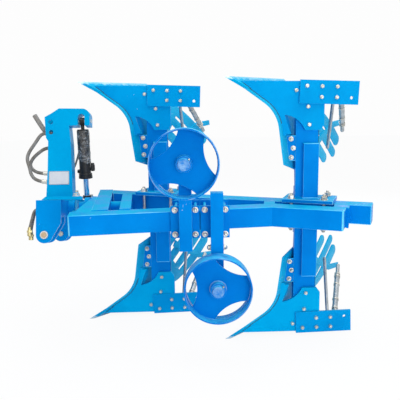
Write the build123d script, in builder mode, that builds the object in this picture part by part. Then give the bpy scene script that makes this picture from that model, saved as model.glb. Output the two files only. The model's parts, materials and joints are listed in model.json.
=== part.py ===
from build123d import *
import os
from math import atan2, cos, degrees, radians, sin, tan

os.makedirs("parts", exist_ok=True)

# Two-furrow reversible mounted plough, in millimetres.
# +X runs to the rear, +Y to the plough's right and +Z up. The share edges of the lower
# bodies stand on the floor. Sketch coordinates are measured from the datum, which is the
# front body's landside line at the height of the turnover axis.
AXIS_HEIGHT = 695.0
DATUM_X = 26.0
DATUM_Y = 90.974
AXIS_Y = -100.0
ROLL = 12.5

BODY_PITCH_X = 800.0
BODY_PITCH_Y = -304.0
BEAM_ANGLE = degrees(atan2(BODY_PITCH_Y, BODY_PITCH_X))
TUBE = 100.0
WALL = 8.0
SEAT = 0.3
RUNNING = 0.05
MOVING = 6.0

DATUM = Vector(DATUM_X, DATUM_Y, AXIS_HEIGHT)
PLAN = Plane(origin=DATUM)
SIDE = Plane(origin=DATUM, x_dir=(1, 0, 0), z_dir=(0, -1, 0))
CROSS = Plane(origin=DATUM, x_dir=(0, 1, 0), z_dir=(1, 0, 0))
BODY = Plane(origin=DATUM - Vector(0, 0, AXIS_HEIGHT), x_dir=(1, 0, 0), z_dir=(0, -1, 0))
PIVOT = DATUM + Vector(0, AXIS_Y, 0)
HEAD = Plane(
    origin=PIVOT,
    x_dir=(1, 0, 0),
    z_dir=(0, -cos(radians(ROLL)), sin(radians(ROLL))),
)


def save(part, name):
    part.label = name
    export_step(part, f"parts/{name}.step")


def turned(direction, point):
    """Plane with its normal along a direction, for round pieces."""
    return Plane(origin=point, z_dir=direction)


# ---------------------------------------------------------------- mouldboard surface
# The face is ruled between two upright sections. In each one a flat run rises at the
# share angle, an arc turns it up and a steep run finishes it.
SHARE_ANGLE = 36.0
SKIN = 9.5
SHARE_SKIN = 13.0
BAR_T = 10.0
SHARE_TOP = 60.0
SECTIONS = [
    # across, corner_x, corner_h, top_angle, bend_radius
    (-40.0, -479.0, 184.5, 81.6, 185.0),
    (560.0, 67.0, 145.4, 96.3, 260.0),
]


def ahead_of(depth):
    """Everything in front of the face, grown backwards by a depth."""
    with BuildPart() as region:
        for across, corner_x, corner_h, top_angle, bend_radius in SECTIONS:
            mean = radians((SHARE_ANGLE + top_angle) / 2)
            shift = depth / cos(radians(top_angle - SHARE_ANGLE) / 2)
            corner = Vector(corner_x + shift * sin(mean), corner_h - shift * cos(mean))
            low = Vector(cos(radians(SHARE_ANGLE)), sin(radians(SHARE_ANGLE)))
            high = Vector(cos(radians(top_angle)), sin(radians(top_angle)))
            foot = corner - low * 420
            head = corner + high * 400
            with BuildSketch(BODY.offset(-across)):
                with BuildLine():
                    face = FilletPolyline(foot, corner, head, radius=bend_radius + depth)
                    Polyline(
                        face @ 1,
                        (foot.X - 250, head.Y),
                        (foot.X - 250, foot.Y),
                        face @ 0,
                    )
                make_face()
        loft(ruled=True)
    return region.part


FRONT_OF_FACE = ahead_of(0)
FRONT_OF_BACK = ahead_of(SKIN)
FRONT_OF_SHARE_BACK = ahead_of(SHARE_SKIN)
FRONT_OF_SEAT = ahead_of(SKIN + SEAT)
FRONT_OF_BAR = ahead_of(SKIN + BAR_T)
FRONT_OF_BRACE = ahead_of(SKIN + BAR_T + SEAT)
FLANGE_BAR_T = 12.0
FRONT_OF_FLANGE_BAR = ahead_of(SKIN + SEAT + FLANGE_BAR_T)

# ---------------------------------------------------------------- share
with BuildPart() as share:
    with BuildSketch(Plane(origin=DATUM - Vector(0, 0, AXIS_HEIGHT))):
        with BuildLine():
            Polyline((-760, -31), (-560, 11), (-290, 277), (-440, 342), close=True)
        make_face()
    extrude(amount=SHARE_TOP)
    add(FRONT_OF_SHARE_BACK, mode=Mode.INTERSECT)
    add(FRONT_OF_FACE, mode=Mode.SUBTRACT)

# the space that the share and its seat take from the frog
with BuildPart() as share_room:
    with Locations((DATUM_X - 500, DATUM_Y + 200, SHARE_TOP / 2)):
        Box(900, 900, SHARE_TOP + 2 * SEAT)
    add(ahead_of(SHARE_SKIN + SEAT), mode=Mode.INTERSECT)
SHARE_ROOM = share_room.part

# ---------------------------------------------------------------- mouldboard
# Its outline is drawn on an upright plane along the face's mean rulings.
RULING = 48.0
OUTLINE = Plane(
    origin=DATUM + Vector(-408, 0, -AXIS_HEIGHT),
    x_dir=(cos(radians(RULING)), sin(radians(RULING)), 0),
    z_dir=(sin(radians(RULING)), -cos(radians(RULING)), 0),
)
SLAT_ANGLE = degrees(atan2(0.8, 1.0))
SLATS = [
    # tip_along, tip_height, width
    (644.0, 374.0, 66.0),
    (607.0, 444.0, 51.0),
    (490.0, 466.0, 58.0),
    (350.0, 472.0, 58.0),
]
SLAT_RUN = 330.0
TRUNK = [
    (-160, SHARE_TOP + SEAT),
    (177, SHARE_TOP + SEAT),
    (329, 130),
    (388, 172),
    (224, 380),
    (150, 340),
    (150, 480),
    (133, 491),
    (0, 449),
    (-160, 449),
]
BRACKET = [
    (318, 412), (405, 352), (560, 276), (672, 262), (668, 232), (545, 243), (388, 322), (298, 374),
]

with BuildPart() as mouldboard:
    with BuildSketch(OUTLINE):
        with BuildLine():
            Polyline(*TRUNK, close=True)
        make_face()
        for tip_along, tip_height, width in SLATS:
            run = Vector(cos(radians(SLAT_ANGLE)), sin(radians(SLAT_ANGLE)))
            tip = Vector(tip_along, tip_height) - run * (width / 2)
            middle = tip - run * (SLAT_RUN / 2)
            with Locations((middle.X, middle.Y)):
                SlotCenterToCenter(SLAT_RUN, width, rotation=SLAT_ANGLE)
    extrude(amount=900, both=True)
    add(FRONT_OF_BACK, mode=Mode.INTERSECT)
    add(FRONT_OF_FACE, mode=Mode.SUBTRACT)
    with Locations(BODY.offset(500)):
        Box(3000, 3000, 1000, mode=Mode.SUBTRACT)
    # the bar across the slats' backs, which the two braces hold
    with BuildPart(mode=Mode.PRIVATE) as bar:
        with BuildSketch(OUTLINE):
            with BuildLine():
                Polyline(*BRACKET, close=True)
            make_face()
        extrude(amount=900, both=True)
        add(FRONT_OF_BAR, mode=Mode.INTERSECT)
        add(FRONT_OF_BACK, mode=Mode.SUBTRACT)
    add(bar.part)

# ---------------------------------------------------------------- landside and frog
LANDSIDE_T = 12.0
FROG_T = 18.0
FLANGE_BAR_W = 46.0
LANDSIDE = Plane(
    origin=DATUM + Vector(-326.6, 0, 20.1 - AXIS_HEIGHT),
    x_dir=(cos(radians(2.3)), 0, sin(radians(2.3))),
    z_dir=(0, -1, 0),
)
HOLE_PITCH = 76.0
HOLE_ROWS = 53.0
HOLE_INSET = 34.75
HOLE_LOW = 30.5
HOLE_COLUMNS = 4
LANDSIDE_LENGTH = 2 * HOLE_INSET + (HOLE_COLUMNS - 1) * HOLE_PITCH
LANDSIDE_HEIGHT = HOLE_LOW + HOLE_ROWS + 34.0
LANDSIDE_BOLTS = [(0, 0), (1, 0), (2, 0), (1, 1), (2, 1)]
BOLT_R = 8.0
HEAD_R = 12.0
HEAD_T = 4.0


def landside_hole(column, row):
    return (HOLE_INSET + column * HOLE_PITCH, HOLE_LOW + row * HOLE_ROWS)


with BuildPart() as landside:
    with BuildSketch(LANDSIDE):
        with Locations((LANDSIDE_LENGTH / 2, LANDSIDE_HEIGHT / 2)):
            Rectangle(LANDSIDE_LENGTH, LANDSIDE_HEIGHT)
        with Locations(landside_hole(3, 1)):
            Circle(BOLT_R, mode=Mode.SUBTRACT)
    extrude(amount=-LANDSIDE_T)
    for column, row in LANDSIDE_BOLTS:
        with BuildSketch(LANDSIDE):
            with Locations(landside_hole(column, row)):
                Circle(HEAD_R)
        extrude(amount=HEAD_T)

FROG_BOLTS = [(-345.0, 72.0), (-284.0, 154.0), (-276.0, 245.0)]
FROG_Y = LANDSIDE_T + SEAT
LEG_X0 = -340.0
LEG_X1 = -222.0
LEG_Y0 = FROG_Y + FROG_T + SEAT
LEG_Y1 = LEG_Y0 + 50.0
LEG_FOOT = 96.0
RIB_INSET = 4.0
RIB_T = 12.0

with BuildPart() as frog:
    with BuildSketch(BODY.offset(-FROG_Y)):
        with BuildLine():
            Polyline((-401, 195), (-470, 330), (-760, 20), (-200, 28), (-200, 248))
            Polyline((-200, 248), (-218, 273), (-296, 273))
            ThreePointArc((-296, 273), (-337, 220), (-401, 195))
        make_face()
    extrude(amount=-FROG_T)
    with BuildSketch(BODY.offset(-FROG_Y)):
        with BuildLine():
            neck = Spline((-401, 197), (-392, 228), (-366, 292))
            Line(neck @ 1, (-470, 292))
            Line((-470, 292), (-470, 197))
            Line((-470, 197), neck @ 0)
        make_face()
    extrude(amount=-FROG_T)
    with BuildPart(mode=Mode.PRIVATE) as flange_bar:
        with BuildSketch(BODY.offset(-FROG_Y)):
            with BuildLine():
                Polyline((-700, 30), (-420, 30), (-352, 100), (-352, 300), (-700, 300), close=True)
            make_face()
        extrude(amount=-FLANGE_BAR_W)
        add(FRONT_OF_FLANGE_BAR, mode=Mode.INTERSECT)
    add(flange_bar.part)
    add(FRONT_OF_SEAT, mode=Mode.SUBTRACT)
    add(SHARE_ROOM, mode=Mode.SUBTRACT)
    with Locations(BODY.offset(500)):
        Box(3000, 3000, 1000, mode=Mode.SUBTRACT)
    for bolt_x, bolt_h in FROG_BOLTS:
        with BuildSketch(BODY.offset(-FROG_Y)):
            with Locations((bolt_x, bolt_h)):
                Circle(HEAD_R)
        extrude(amount=HEAD_T)

# ---------------------------------------------------------------- leg and its flange
FLANGE_T = 20.0
FLANGE_AT = TUBE / 2
FLANGE_X = -262.0
FLANGE_Y = 34.0
FLANGE_LENGTH = 262.0
FLANGE_WIDTH = 178.0
CLAMP_X = 84.0
CLAMP_Y = 68.0
CLAMP_R = 9.0
FLANGE = Plane(
    origin=DATUM + Vector(FLANGE_X, FLANGE_Y, -FLANGE_AT - SEAT),
    x_dir=(cos(radians(BEAM_ANGLE)), sin(radians(BEAM_ANGLE)), 0),
    z_dir=(0, 0, -1),
)
LEG_TOP = AXIS_HEIGHT - FLANGE_AT - FLANGE_T - SEAT

with BuildPart() as leg:
    with BuildSketch(BODY.offset(-LEG_Y0)):
        with BuildLine():
            Polyline(
                (LEG_X0, LEG_TOP),
                (LEG_X0, LEG_FOOT + 60),
                (LEG_X0 + 30, LEG_FOOT),
                (LEG_X1 - 20, LEG_FOOT),
                (LEG_X1, LEG_FOOT + 40),
                (LEG_X1, LEG_TOP),
                close=True,
            )
        make_face()
    extrude(amount=-(LEG_Y1 - LEG_Y0))
    with BuildSketch(BODY.offset(-LEG_Y0)):
        with Locations((-264, (340 + LEG_TOP) / 2)):
            Rectangle(78, LEG_TOP - 340)
    extrude(amount=LEG_Y0 - 2)
    # the rib in front of the leg that the mouldboard's upper bolts go through
    with BuildSketch(BODY.offset(-LEG_Y0 - RIB_INSET)):
        with BuildLine():
            Polyline((LEG_X0 + 2, 301), (LEG_X0 + 2, 432), (-520, 432), (-520, 301), close=True)
        make_face()
    extrude(amount=-RIB_T)
    add(FRONT_OF_SEAT, mode=Mode.SUBTRACT)
    with BuildSketch(FLANGE):
        Rectangle(FLANGE_LENGTH, FLANGE_WIDTH)
        with GridLocations(2 * CLAMP_X, 2 * CLAMP_Y, 2, 2):
            Circle(CLAMP_R + SEAT, mode=Mode.SUBTRACT)
    extrude(amount=FLANGE_T)

# ---------------------------------------------------------------- braces
BRACE_LOW = [(-150.0, 104.0), (-112.0, 100.0)]
BRACE_HIGH = [(-132.0, 215.0, 380.0), (-15.0, 352.0, 292.0)]
BRACE_R = [9.0, 11.0]


def brace(index):
    """Round rod from the landside's inner face to the bracket's back."""
    low_x, low_h = BRACE_LOW[index]
    high = DATUM + Vector(*BRACE_HIGH[index]) - Vector(0, 0, AXIS_HEIGHT)
    low = DATUM + Vector(low_x, LANDSIDE_T + SEAT, low_h - AXIS_HEIGHT)
    knee = low + Vector(0, 22, 0)
    with BuildPart() as rod:
        with BuildLine():
            FilletPolyline(low, knee, high, radius=12)
        with BuildSketch(turned((0, 1, 0), low)):
            Circle(BRACE_R[index])
        sweep()
        if index == 1:
            middle = knee + (high - knee) * 0.45
            with BuildSketch(turned(high - knee, middle)):
                Circle(15)
            extrude(amount=130, both=True)
        add(FRONT_OF_BRACE, mode=Mode.SUBTRACT)
    return rod.part


with BuildPart() as braces:
    add(brace(0))
    add(brace(1))

# ---------------------------------------------------------------- the four bodies
BODY_PIECES = [
    # name, part
    ("share", share.part),
    ("mouldboard", mouldboard.part),
    ("landside", landside.part),
    ("frog", frog.part),
    ("leg", leg.part),
    ("braces", braces.part),
]
BODIES = [
    # name, pitches_back, upper
    ("front_lower", 0, False),
    ("rear_lower", 1, False),
    ("front_upper", 0, True),
    ("rear_upper", 1, True),
]
for body_name, pitches_back, upper in BODIES:
    step = Location((pitches_back * BODY_PITCH_X, pitches_back * BODY_PITCH_Y, 0))
    for piece_name, piece in BODY_PIECES:
        with BuildPart() as copy:
            add(piece.moved(step))
            if upper:
                mirror(about=PLAN, mode=Mode.REPLACE)
        save(copy.part, f"{body_name}_{piece_name}")

# ---------------------------------------------------------------- clamp bolts
CLAMP_REACH = FLANGE_AT + FLANGE_T + SEAT
with BuildPart() as clamp_bolts:
    with Locations(PLAN * Location((FLANGE_X, FLANGE_Y, 0), (0, 0, BEAM_ANGLE))):
        with GridLocations(2 * CLAMP_X, 2 * CLAMP_Y, 2, 2):
            Cylinder(CLAMP_R, 2 * CLAMP_REACH + 60)
            with Locations((0, 0, CLAMP_REACH + SEAT + 9), (0, 0, -CLAMP_REACH - SEAT - 9)):
                Cylinder(16, 18)
for name, pitches_back in (("front_clamp_bolts", 0), ("rear_clamp_bolts", 1)):
    with BuildPart() as copy:
        add(clamp_bolts.part.moved(Location((pitches_back * BODY_PITCH_X, pitches_back * BODY_PITCH_Y, 0))))
    save(copy.part, name)


# ---------------------------------------------------------------- frame beams
def plate(outline, inset, height):
    """Upright prism on the turnover axis' level, its plan outline drawn in."""
    with BuildPart() as prism:
        with BuildSketch(PLAN):
            with BuildLine():
                Polyline(*outline, close=True)
            make_face()
            if inset:
                offset(amount=-inset, kind=Kind.INTERSECTION, mode=Mode.REPLACE)
        extrude(amount=height / 2 - inset, both=True)
    return prism.part


SLOPE = BODY_PITCH_Y / BODY_PITCH_X
HALF = TUBE / 2 / cos(radians(BEAM_ANGLE))
NEAR_FRONT = (-664.0, -585.0)
NEAR_BEND = (320.0, -430.0)
NEAR_REAR = (642.0, -559.0)


def far_line(x, side):
    """Plan point on the far beam: side -1 is its front face, +1 its back face."""
    return (x, FLANGE_Y + (x - FLANGE_X) * SLOPE + side * HALF)


FAR_BEAM = [far_line(-560, -1), far_line(815, -1), far_line(853, 1), far_line(-600, 1)]
near_run = (Vector(*NEAR_BEND) - Vector(*NEAR_FRONT)).normalized().rotate(Axis.Z, 90)
rear_run = (Vector(*NEAR_REAR) - Vector(*NEAR_BEND)).normalized().rotate(Axis.Z, 90)
back_front = Vector(*NEAR_FRONT) + near_run * TUBE
back_bend = Vector(*NEAR_BEND) + (near_run + rear_run) * (TUBE / (1 + near_run.dot(rear_run)))
back_rear = Vector(*NEAR_REAR) + rear_run * TUBE
NEAR_BEAM = [
    NEAR_FRONT,
    NEAR_BEND,
    NEAR_REAR,
    (back_rear.X, back_rear.Y),
    (back_bend.X, back_bend.Y),
    (back_front.X, back_front.Y),
]
CROSS_FRONT = [(-664, 235), (-583, 235), (-490, -495), (-571, -495)]
far_outer = plate(FAR_BEAM, 0, TUBE)
near_outer = plate(NEAR_BEAM, 0, TUBE)
cross_outer = plate(CROSS_FRONT, 0, TUBE)
SHAFT_R = 32.0
SHAFT_FRONT = -890.0
SHAFT_REAR = -425.0
AXIS = Plane(origin=PIVOT, x_dir=(0, 1, 0), z_dir=(1, 0, 0))


def round_bar(x0, x1, radius):
    """Round bar on the turnover axis."""
    with BuildPart() as bar:
        with BuildSketch(AXIS.offset(x0)):
            Circle(radius)
        extrude(amount=x1 - x0)
    return bar.part


shaft_hole = round_bar(SHAFT_FRONT, SHAFT_REAR + 1, SHAFT_R + SEAT)
FRAME_TUBES = [
    # name, plan outline, solids that it is cut back to
    ("cross_front", CROSS_FRONT, (near_outer, shaft_hole)),
    ("beam_far", FAR_BEAM, (cross_outer,)),
    ("beam_near", NEAR_BEAM, ()),
    (
        "cross_rear",
        [(-502, 100), (-445, 100), (-381, -470), (-438, -470)],
        (near_outer, far_outer, shaft_hole),
    ),
    (
        "yoke",
        [(-655, -495), (-571, -495), (-571, -20), (-655, -20)],
        (near_outer, cross_outer, shaft_hole),
    ),
    (
        "bend_piece",
        [(305, -220), (362, -220), (345, -345), (288, -345)],
        (near_outer, far_outer),
    ),
    (
        "end_piece",
        [(622, -445), (686, -490), (721, -376), (651, -350)],
        (near_outer, far_outer),
    ),
]
for tube_name, outline, cutters in FRAME_TUBES:
    with BuildPart() as member:
        add(plate(outline, 0, TUBE))
        for cutter in cutters:
            add(cutter, mode=Mode.SUBTRACT)
        add(plate(outline, WALL, TUBE), mode=Mode.SUBTRACT)
    save(member.part, tube_name)

# ---------------------------------------------------------------- crank and stop lug
CRANK = 125.0
CYLINDER_X = -702.0
EYE_T = 24.0
EYE_R = 22.0
PIN_R = 12.5
CRANK_X0 = CYLINDER_X + EYE_T / 2 + MOVING
YOKE_X = -655.0

with BuildPart() as crank:
    with BuildSketch(AXIS.offset(CRANK_X0)):
        Circle(56)
        with Locations((CRANK, 0)):
            Circle(28)
        with BuildLine():
            Polyline((0, 54), (CRANK, 28), (CRANK, -28), (0, -54), close=True)
        make_face()
    extrude(amount=YOKE_X - SEAT - CRANK_X0)
    add(round_bar(SHAFT_FRONT, SHAFT_REAR, SHAFT_R))
save(crank.part, "turnover_shaft")

LUG_HALF = 16.0
LUG_FROM = 160.0
LUG_TO = 222.0
with BuildPart() as stop_lug:
    with BuildSketch(AXIS.offset(-714)):
        with Locations((-(LUG_FROM + LUG_TO) / 2, 0)):
            Rectangle(LUG_TO - LUG_FROM, 2 * LUG_HALF)
    extrude(amount=YOKE_X - SEAT + 714)
save(stop_lug.part, "stop_lug")

# ---------------------------------------------------------------- gauge wheels
ARM = 60.0
ARM_FACE_Y = -527.0
PLATE_T = 12.0
PLATE_HALF = 78.0
BOLT_Z = 60.0
WHEEL_R = 160.0
WHEEL_Y0 = -690.0
WHEEL_Y1 = -600.0
AXLE_R = 17.5
WHEEL_DROP = 295.0
WHEELS = [
    # name, x, plate_from, plate_to, end_height, up, lens_angle
    ("upper", -108.0, -182.0, -42.0, -130.0, 1, 15.3),
    ("lower", 40.0, -38.0, 102.0, 149.0, -1, 60.0),
]
for wheel_name, wheel_x, plate_from, plate_to, end_height, up, lens_angle in WHEELS:
    middle_x = (plate_from + plate_to) / 2
    # the saddle grips the near beam between two plates and four long bolts
    with BuildPart() as saddle:
        with Locations(PLAN * Location((middle_x, ARM_FACE_Y + PLATE_T / 2, 0))):
            Box(plate_to - plate_from, PLATE_T, 2 * PLATE_HALF)
        with Locations(PLAN * Location((middle_x, ARM_FACE_Y + PLATE_T + 25, 0))):
            Box(plate_to - plate_from, 50, TUBE)
        with Locations(PLAN * Location((middle_x, -352, 0))):
            Box(plate_to - plate_from, PLATE_T, 2 * PLATE_HALF)
        with Locations(PLAN * Location((middle_x, -372, 0))):
            Box(plate_to - plate_from, 40, TUBE)
        with Locations(PLAN * Location((middle_x, (ARM_FACE_Y - 346) / 2, 0), (90, 0, 0))):
            with GridLocations(plate_to - plate_from - 42, 2 * BOLT_Z, 2, 2):
                Cylinder(BOLT_R, -346 - ARM_FACE_Y + 26)
        add(near_outer, mode=Mode.SUBTRACT)
    save(saddle.part, f"wheel_saddle_{wheel_name}")

    far_end = up * (WHEEL_DROP + 38)
    with BuildPart() as arm:
        with Locations(
            PLAN * Location((wheel_x, ARM_FACE_Y - SEAT - ARM / 2, (far_end + end_height) / 2))
        ):
            Box(ARM, ARM, abs(far_end - end_height))
        with BuildSketch(SIDE.offset(-(ARM_FACE_Y - SEAT - ARM))):
            with Locations((wheel_x, up * WHEEL_DROP)):
                Circle(AXLE_R)
        extrude(amount=ARM_FACE_Y - SEAT - ARM - WHEEL_Y0 - 8)
        if up < 0:
            with BuildSketch(CROSS.offset(wheel_x)):
                with Locations((ARM_FACE_Y - ARM / 2, -119)):
                    Circle(BOLT_R)
            extrude(amount=47, both=True)
    save(arm.part, f"wheel_arm_{wheel_name}")

    hub = SIDE.offset(-WHEEL_Y1) * Location((wheel_x, up * WHEEL_DROP, 0))
    with BuildPart() as wheel:
        with BuildSketch(Plane(hub)):
            Circle(WHEEL_R)
            Circle(WHEEL_R - 7, mode=Mode.SUBTRACT)
        extrude(amount=WHEEL_Y1 - WHEEL_Y0)
        with BuildSketch(Plane(hub)):
            Circle(37)
            Circle(AXLE_R + RUNNING, mode=Mode.SUBTRACT)
        extrude(amount=WHEEL_Y1 - WHEEL_Y0 - 6)
        with BuildSketch(Plane(hub).offset(WHEEL_Y1 - WHEEL_Y0 - 6)):
            Circle(29)
        extrude(amount=14, taper=12)
        with BuildSketch(Plane(hub).offset(40)):
            Circle(WHEEL_R - 4)
            Circle(30, mode=Mode.SUBTRACT)
            with PolarLocations(0, 3, start_angle=lens_angle):
                with BuildSketch(mode=Mode.PRIVATE) as lens:
                    Circle(WHEEL_R - 9)
                    with Locations((274.5, 0)):
                        Circle(176.5, mode=Mode.INTERSECT)
                add(lens.sketch, mode=Mode.SUBTRACT)
        extrude(amount=8)
    save(wheel.part, f"wheel_{wheel_name}")

# ---------------------------------------------------------------- headstock
HITCH_X = -856.0
HITCH_DROP = 148.0
HITCH_R = 14.0
PLATE_OUT = 206.0
PLATE_IN = 190.0
EAR_OUT = 134.0
EAR_IN = 118.0
BASE_X0 = -897.0
BASE_X1 = -770.0
BASE_TOP = 35.0
BASE_LOW = -45.0
SLEEVE_R = 52.0
SLEEVE_END = -737.0
MAST_HALF = 38.0
MAST_GAP = 26.0
TOP_LINK = [(-871.0, 479.0), (-869.0, 423.0)]
TOP_LINK_R = 12.7
TOP_PIN = 488.0
SLOT_HALF = 19.5

# the cross tube under the mast, with the long bearing sleeve through it
with BuildPart() as headstock:
    with BuildSketch(HEAD):
        with Locations(((BASE_X0 + BASE_X1) / 2, (BASE_TOP + BASE_LOW) / 2)):
            Rectangle(BASE_X1 - BASE_X0, BASE_TOP - BASE_LOW)
            Rectangle(
                BASE_X1 - BASE_X0 - 2 * WALL,
                BASE_TOP - BASE_LOW - 2 * WALL,
                mode=Mode.SUBTRACT,
            )
    extrude(amount=PLATE_IN - SEAT, both=True)
    add(round_bar(BASE_X0, SLEEVE_END, SLEEVE_R))
    add(round_bar(BASE_X0 - 1, SLEEVE_END + 1, SHAFT_R + RUNNING), mode=Mode.SUBTRACT)
save(headstock.part, "headstock_tube")

SIDES = [("near", 1), ("far", -1)]
for side_name, side in SIDES:
    with BuildPart() as cheek:
        for outer, inner, top in ((PLATE_OUT, PLATE_IN, 34.0), (EAR_OUT, EAR_IN, BASE_LOW - SEAT)):
            with BuildSketch(HEAD.offset(side * inner)):
                with BuildLine():
                    Polyline(
                        (-900, top),
                        (-769, top),
                        (-769, -86),
                        (-820, -174),
                        (-900, -148),
                        close=True,
                    )
                make_face()
                with Locations((HITCH_X, -HITCH_DROP)):
                    Circle(44)
                    Circle(HITCH_R + SEAT, mode=Mode.SUBTRACT)
            extrude(amount=side * (outer - inner))
        with BuildSketch(HEAD.offset(side * EAR_IN)):
            with Locations(((BASE_X0 + BASE_X1) / 2, BASE_LOW - SEAT - 5)):
                Rectangle(BASE_X1 - BASE_X0, 10)
        extrude(amount=side * (PLATE_OUT - EAR_IN))
    save(cheek.part, f"hitch_plates_{side_name}")
    with BuildPart() as pin:
        with BuildSketch(HEAD.offset(side * (EAR_IN - 8))):
            with Locations((HITCH_X, -HITCH_DROP)):
                Circle(HITCH_R)
        extrude(amount=side * (PLATE_OUT - EAR_IN + 13))
        with BuildSketch(HEAD.offset(side * (PLATE_OUT + SEAT))):
            with Locations((HITCH_X, -HITCH_DROP)):
                Circle(21)
        extrude(amount=side * 4)
    save(pin.part, f"hitch_pin_{side_name}")

    # the arm and bolt that the frame comes to rest against
    with BuildPart() as stop:
        with BuildSketch(HEAD.offset(side * 166)):
            with BuildLine():
                Polyline(
                    (-870, BASE_TOP + SEAT),
                    (-662, BASE_TOP + SEAT),
                    (-662, BASE_TOP + 17),
                    (-850, BASE_TOP + 17),
                    close=True,
                )
            make_face()
        extrude(amount=side * 40)
        bolt_at = Plane(HEAD * Location((-690, -22, side * 186), (-90, 0, 0)))
        with BuildSketch(bolt_at):
            Circle(10)
        extrude(amount=95)
        with BuildSketch(bolt_at.offset(75)):
            RegularPolygon(17, 6)
        extrude(amount=12)
    save(stop.part, f"turnover_stop_{side_name}")

with BuildPart() as mast:
    with BuildSketch(HEAD):
        with BuildLine():
            Polyline(
                (-747, BASE_TOP + SEAT),
                (-897, BASE_TOP + SEAT),
                (-888, 201),
                (-885, 372),
                (-897, 390),
                (-905, 508),
                (-866, 529),
                (-825, 556),
                (-690, 553),
            )
            ThreePointArc((-690, 553), (-664, 540), (-653, 512))
            Polyline(
                (-653, 512),
                (-653, 458),
                (-768, 458),
                (-758, 360),
                (-747, BASE_TOP + SEAT),
            )
        make_face()
        with Locations(*TOP_LINK):
            Circle(TOP_LINK_R, mode=Mode.SUBTRACT)
        with Locations((-700.5, 524 - SLOT_HALF)):
            Circle(SLOT_HALF, mode=Mode.SUBTRACT)
        with Locations((-700.5, (524 - SLOT_HALF + 440) / 2)):
            Rectangle(2 * SLOT_HALF, 524 - SLOT_HALF - 440, mode=Mode.SUBTRACT)
    extrude(amount=MAST_HALF, both=True)
    with BuildSketch(HEAD):
        with BuildLine():
            Polyline(
                (-930, 30),
                (-757, 30),
                (-768, 360),
                (-779, 450),
                (-800, 545),
                (-930, 545),
                close=True,
            )
        make_face()
    extrude(amount=MAST_GAP, both=True, mode=Mode.SUBTRACT)
    add(round_bar(BASE_X0 - 5, SLEEVE_END + 5, SLEEVE_R + SEAT), mode=Mode.SUBTRACT)
    with BuildSketch(Plane(AXIS.offset(-746) * Location((0, 0, 0), (0, 0, -ROLL)))):
        with Locations((0, TOP_PIN)):
            Circle(PIN_R + SEAT)
    extrude(amount=120, mode=Mode.SUBTRACT)
save(mast.part, "mast")

with BuildPart() as cylinder_pin:
    with BuildSketch(Plane(AXIS.offset(-745) * Location((0, 0, 0), (0, 0, -ROLL)))):
        with Locations((0, TOP_PIN)):
            Circle(PIN_R)
    extrude(amount=94)
save(cylinder_pin.part, "cylinder_pin")

with BuildPart() as data_plate:
    with BuildSketch(HEAD.offset(MAST_HALF + SEAT)):
        with Locations((-824, 165)):
            Rectangle(112, 74)
    extrude(amount=1.5)
save(data_plate.part, "data_plate")

# ---------------------------------------------------------------- turnover cylinder
top_pin = PIVOT + Vector(
    CYLINDER_X,
    TOP_PIN * sin(radians(ROLL)),
    TOP_PIN * cos(radians(ROLL)),
)
crank_pin = PIVOT + Vector(CYLINDER_X, CRANK, 0)
REACH = (crank_pin - top_pin).length
BARREL = Plane(origin=top_pin, x_dir=(1, 0, 0), z_dir=crank_pin - top_pin)
BARREL_R = 32.0
BORE_R = 25.0
ROD_R = 16.0
BARREL_FROM = 46.0
BARREL_TO = 326.0
CAP_T = 20.0
GLAND_T = 30.0


def eye(distance, bore):
    """Flat eye across the cylinder's axis."""
    with BuildPart() as ring:
        with BuildSketch(Plane(BARREL * Location((-EYE_T / 2, 0, distance), (0, 90, 0)))):
            Circle(EYE_R)
            Circle(bore, mode=Mode.SUBTRACT)
        extrude(amount=EYE_T)
    return ring.part


with BuildPart() as barrel:
    with BuildSketch(BARREL.offset(BARREL_FROM)):
        Circle(BARREL_R)
    extrude(amount=BARREL_TO - BARREL_FROM)
    with BuildSketch(BARREL.offset(BARREL_TO - GLAND_T)):
        Circle(BARREL_R + 3)
    extrude(amount=GLAND_T)
    with BuildSketch(BARREL.offset(EYE_R - 4)):
        Circle(10)
    extrude(amount=BARREL_FROM - EYE_R + 4)
    with BuildSketch(BARREL.offset(BARREL_FROM + CAP_T)):
        Circle(BORE_R)
    extrude(amount=BARREL_TO - GLAND_T - BARREL_FROM - CAP_T, mode=Mode.SUBTRACT)
    with BuildSketch(BARREL.offset(BARREL_TO - GLAND_T - 1)):
        Circle(ROD_R + RUNNING)
    extrude(amount=GLAND_T + 2, mode=Mode.SUBTRACT)
    add(eye(0, PIN_R + RUNNING))
    with BuildSketch(Plane(BARREL * Location((0, 0, 0), (0, 90, 0))).offset(-EYE_T)):
        Circle(PIN_R + RUNNING)
    extrude(amount=2 * EYE_T, mode=Mode.SUBTRACT)
save(barrel.part, "cylinder_barrel")

with BuildPart() as rod:
    with BuildSketch(BARREL.offset(185)):
        Circle(ROD_R)
    extrude(amount=REACH - EYE_R + 2 - 185)
    with BuildSketch(BARREL.offset(185)):
        Circle(BORE_R - 0.5)
    extrude(amount=25)
    # its eye keeps the crank pin, which seats against the crank's front face
    add(eye(REACH, PIN_R + 1))
    with BuildSketch(AXIS.offset(CRANK_X0 - SEAT)):
        with Locations((CRANK, 0)):
            Circle(PIN_R)
    extrude(amount=-(EYE_T + 2 * MOVING - SEAT))
    with BuildSketch(AXIS.offset(CYLINDER_X)):
        with Locations((CRANK, 0)):
            Circle(PIN_R + 1.5)
    extrude(amount=EYE_T / 2 - 2, both=True)
    with BuildSketch(AXIS.offset(CYLINDER_X - EYE_T / 2 - MOVING)):
        with Locations((CRANK, 0)):
            Circle(PIN_R + 5)
    extrude(amount=4)
save(rod.part, "cylinder_rod")

# ---------------------------------------------------------------- hoses
HOSE_R = 9.5
SLEEVE_HOSE_R = 13.0


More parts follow.
